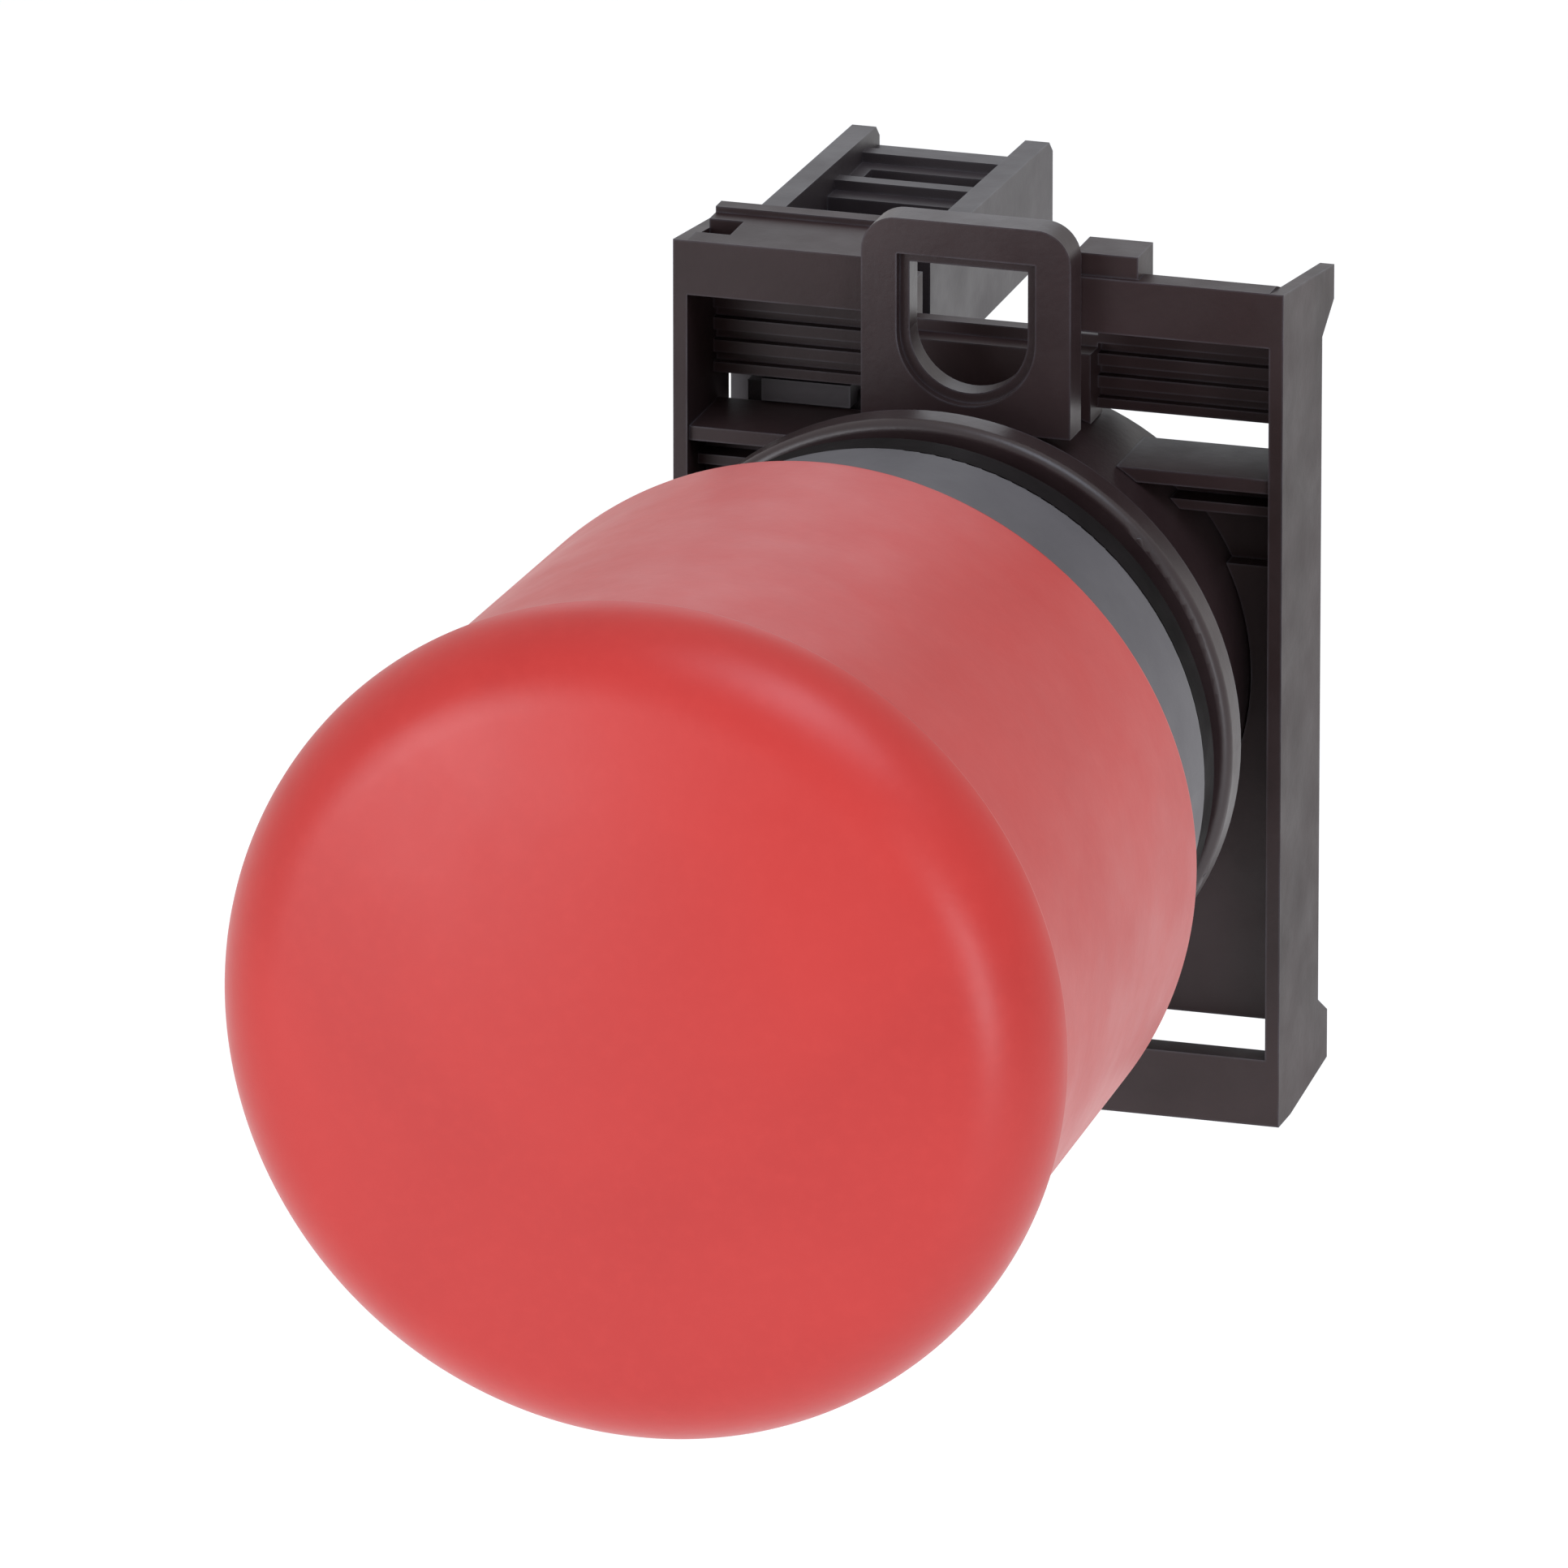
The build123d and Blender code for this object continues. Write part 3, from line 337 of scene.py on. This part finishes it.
def add_camera():
    camera = bpy.data.objects.new("camera", bpy.data.cameras.new("camera"))
    bpy.context.scene.collection.objects.link(camera)
    level = math.cos(CAMERA_ELEVATION)
    towards = Vector((
        math.sin(CAMERA_AZIMUTH) * level,
        -math.cos(CAMERA_AZIMUTH) * level,
        math.sin(CAMERA_ELEVATION),
    ))
    camera.location = CAMERA_AIM + towards * CAMERA_DISTANCE
    camera.rotation_euler = (-towards).to_track_quat("-Z", "Y").to_euler()
    camera.data.sensor_width = SENSOR_WIDTH
    camera.data.lens = SENSOR_WIDTH * CAMERA_DISTANCE / VIEW_WIDTH
    camera.data.clip_start = 0.01
    camera.data.clip_end = 50.0
    bpy.context.scene.camera = camera


def add_area(name, place, size, power, colour):
    light = bpy.data.lights.new(name, "AREA")
    light.shape = "DISK"
    light.size = size
    light.energy = power
    light.color = colour
    lamp = bpy.data.objects.new(name, light)
    bpy.context.scene.collection.objects.link(lamp)
    lamp.location = place
    lamp.rotation_euler = (-Vector(place)).to_track_quat("-Z", "Y").to_euler()


def add_world():
    world = bpy.data.worlds.new("studio")
    bpy.context.scene.world = world
    world.use_nodes = True
    background = world.node_tree.nodes["Background"]
    background.inputs["Color"].default_value = (1.0, 1.0, 1.0, 1.0)
    background.inputs["Strength"].default_value = 0.75


def add_floor():
    lowest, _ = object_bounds()
    mesh = bpy.data.meshes.new("floor")
    half = FLOOR_SIZE / 2
    z = lowest[2] - FLOOR_DROP
    corners = [(-half, -half, z), (half, -half, z), (half, half, z), (-half, half, z)]
    mesh.from_pydata(corners, [], [(0, 1, 2, 3)])
    mesh.materials.append(floor_paint())
    floor = bpy.data.objects.new("floor", mesh)
    bpy.context.scene.collection.objects.link(floor)


# ---------------------------------------------------------------- turned and coiled pieces

def add_mesh(name, vertices, faces, sharp_angle):
    mesh = bpy.data.meshes.new(name)
    mesh.from_pydata([Vector(v) * MM for v in vertices], [], faces)
    mesh.shade_smooth()
    mesh.set_sharp_from_angle(angle=math.radians(sharp_angle))
    piece = bpy.data.objects.new(name, mesh)
    bpy.context.scene.collection.objects.link(piece)
    return piece


def arc(centre, radius, start, end, steps):
    """Points (radius, y) round an arc; angles in degrees from +radius towards +y."""
    angles = [math.radians(start + (end - start) * step / steps) for step in range(steps + 1)]
    return [(centre[0] + radius * math.cos(a), centre[1] + radius * math.sin(a)) for a in angles]


def rounded_corner(before, corner, after, radius):
    """The arc that rounds a corner of an outline."""
    here = Vector(corner)
    back = (Vector(before) - here).normalized()
    ahead = (Vector(after) - here).normalized()
    half = back.angle(ahead) / 2
    centre = here + (back + ahead).normalized() * (radius / math.sin(half))
    start = here + back * (radius / math.tan(half)) - centre
    end = here + ahead * (radius / math.tan(half)) - centre
    turns = [start.slerp(end, step / ARC_STEPS) for step in range(ARC_STEPS + 1)]
    return [tuple(centre + turn * radius) for turn in turns]


def lathe(name, outline, sharp_angle=28.0):
    """Turns a closed (radius, y) outline about the Y axis; radius 0 ends become poles."""
    vertices = []
    rings = []
    for radius, along in outline:
        if radius < 1e-6:
            rings.append([len(vertices)] * LATHE_SEGMENTS)
            vertices.append((0.0, along, 0.0))
            continue
        rings.append(list(range(len(vertices), len(vertices) + LATHE_SEGMENTS)))
        for index in range(LATHE_SEGMENTS):
            turn = math.tau * index / LATHE_SEGMENTS
            vertices.append((radius * math.cos(turn), along, radius * math.sin(turn)))
    faces = []
    for first, second in zip(rings, rings[1:] + rings[:1]):
        for index in range(LATHE_SEGMENTS):
            after = (index + 1) % LATHE_SEGMENTS
            corners = (first[index], second[index], second[after], first[after])
            unique = tuple(dict.fromkeys(corners))
            if len(unique) > 2:
                faces.append(unique)
    return add_mesh(name, vertices, faces, sharp_angle)


def add_cap():
    """The red cap, turned finer than the CAD mesh and with the same outline."""
    dome_centre = (0.0, CAP_FRONT + DOME_RADIUS)
    edge_reach = CROWN_RADIUS - CROWN_EDGE_RADIUS
    edge_depth = math.sqrt((DOME_RADIUS - CROWN_EDGE_RADIUS)**2 - edge_reach**2)
    edge_centre = (edge_reach, dome_centre[1] - edge_depth)
    tangent = math.degrees(math.atan2(-edge_depth, edge_reach))
    outline = arc(dome_centre, DOME_RADIUS, -90.0, tangent, DOME_STEPS)
    outline += arc(edge_centre, CROWN_EDGE_RADIUS, tangent, 0.0, 2 * ARC_STEPS)[1:]
    corners = (
        (CROWN_RADIUS, edge_centre[1]),
        (CROWN_RADIUS, CROWN_REAR),
        (SKIRT_FRONT_RADIUS, SKIRT_FRONT),
        (SKIRT_REAR_RADIUS, CAP_REAR),
        (BORE_RADIUS, CAP_REAR),
        (BORE_RADIUS, ROOF + ROOF_CORNER),
    )
    for index, radius in enumerate((LIP_RADIUS, LIP_RADIUS, SKIRT_EDGE_RADIUS, BORE_EDGE_RADIUS)):
        outline += rounded_corner(*corners[index:index + 3], radius)
    outline += [
        (BORE_RADIUS, ROOF + ROOF_CORNER),
        (BORE_RADIUS - ROOF_CORNER, ROOF),
        (HUB_RADIUS, ROOF),
        (HUB_RADIUS, HUB_REAR),
        (HUB_BORE, HUB_REAR),
        (HUB_BORE, ROOF),
        (0.0, ROOF),
    ]
    cap = lathe("cap_shell", outline)
    paint(cap, "red_cap")
    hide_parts("mushroom_cap")
    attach(cap, "head")


def add_coil(name, mean_radius, wire_radius, turns, front, rear, x):
    """A compression spring along Y with one closed turn at each end."""
    steps = turns * COIL_STEPS
    closed_pitch = CLOSED_PITCH * wire_radius
    length = rear - front - 2 * wire_radius
    free_turns = turns - 2.0
    free_pitch = (length - 2 * closed_pitch) / free_turns
    vertices = []
    for step in range(steps + 1):
        turn = turns * step / steps
        along = closed_pitch * min(turn, 1.0)
        along += free_pitch * min(max(turn - 1.0, 0.0), free_turns)
        along += closed_pitch * max(turn - 1.0 - free_turns, 0.0)
        angle = math.tau * turn
        for corner in range(WIRE_SEGMENTS):
            around = math.tau * corner / WIRE_SEGMENTS
            reach = mean_radius + wire_radius * math.cos(around)
            y = front + wire_radius + along + wire_radius * math.sin(around)
            vertices.append((x + reach * math.cos(angle), y, reach * math.sin(angle)))
    faces = []
    for step in range(steps):
        for corner in range(WIRE_SEGMENTS):
            after = (corner + 1) % WIRE_SEGMENTS
            low = step * WIRE_SEGMENTS
            high = low + WIRE_SEGMENTS
            faces.append((low + corner, low + after, high + after, high + corner))
    faces.append(tuple(reversed(range(WIRE_SEGMENTS))))
    faces.append(tuple(range(steps * WIRE_SEGMENTS, (steps + 1) * WIRE_SEGMENTS)))
    coil = add_mesh(name, vertices, faces, sharp_angle=60.0)
    paint(coil, "spring_steel")
    return coil


def add_spring(name, node, mean_radius, wire_radius, turns, front, rear, x=0.0):
    """A spring in place of its CAD node, on the base body."""
    coil = add_coil(name, mean_radius, wire_radius, turns, front, rear, x)
    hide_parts(node)
    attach(coil, "base")
    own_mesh(coil)


# ---------------------------------------------------------------- the CAD's own pieces

TURNED = {
    "operator_barrel", "bezel_collar", "panel_gasket", "stem", "stem_seal", "detent_balls",
    "detent_spring", "head_screw", "stem_pin", "moving_contact_tips", "fixed_contact_tips",
}


def smooth_between_edges(piece):
    """Shades a turned piece smooth, apart from its true edges."""
    piece.data.shade_smooth()
    piece.data.set_sharp_from_angle(angle=math.radians(30.0))


def finish_edges(piece):
    """Rounds a moulded piece's edges a little, and shades it smooth between them."""
    piece.data.shade_smooth()
    bevel = piece.modifiers.new("edge_radius", "BEVEL")
    bevel.width = EDGE_WIDTH
    bevel.segments = 2
    bevel.limit_method = "ANGLE"
    bevel.angle_limit = math.radians(35.0)
    normals = piece.modifiers.new("flat_faces", "WEIGHTED_NORMAL")
    normals.keep_sharp = True


for node, piece in frame["nodes"].items():
    paint(piece, NODE_SLOT[node])
    if node in TURNED:
        smooth_between_edges(piece)
    else:
        finish_edges(piece)

add_cap()
add_spring(
    "head_coil", "head_spring",
    mean_radius=10.0, wire_radius=0.5, turns=6, front=-36.4, rear=-23.5,
)
add_spring(
    "contact_coil", "contact_spring",
    mean_radius=1.8, wire_radius=0.22, turns=4, front=29.8, rear=36.8, x=-9.9,
)
add_camera()
add_world()
add_floor()
add_area("key_above", place=(0.30, -0.30, 0.9), size=0.6, power=3.2, colour=(0.74, 0.84, 1.0))
add_area("strip_right", place=(0.66, -0.72, -0.02), size=0.28, power=1.7, colour=(0.90, 0.93, 1.0))
add_area("patch_left", place=(-0.68, -0.85, 0.26), size=0.55, power=2.2, colour=(0.90, 0.93, 1.0))
add_area("patch_low", place=(-0.52, -0.95, 0.06), size=0.5, power=1.5, colour=(0.92, 0.94, 1.0))
add_area("wash_behind", place=(-0.25, 0.95, 0.50), size=0.7, power=0.6, colour=(0.80, 0.88, 1.0))
bpy.context.scene.view_settings.view_transform = "Standard"
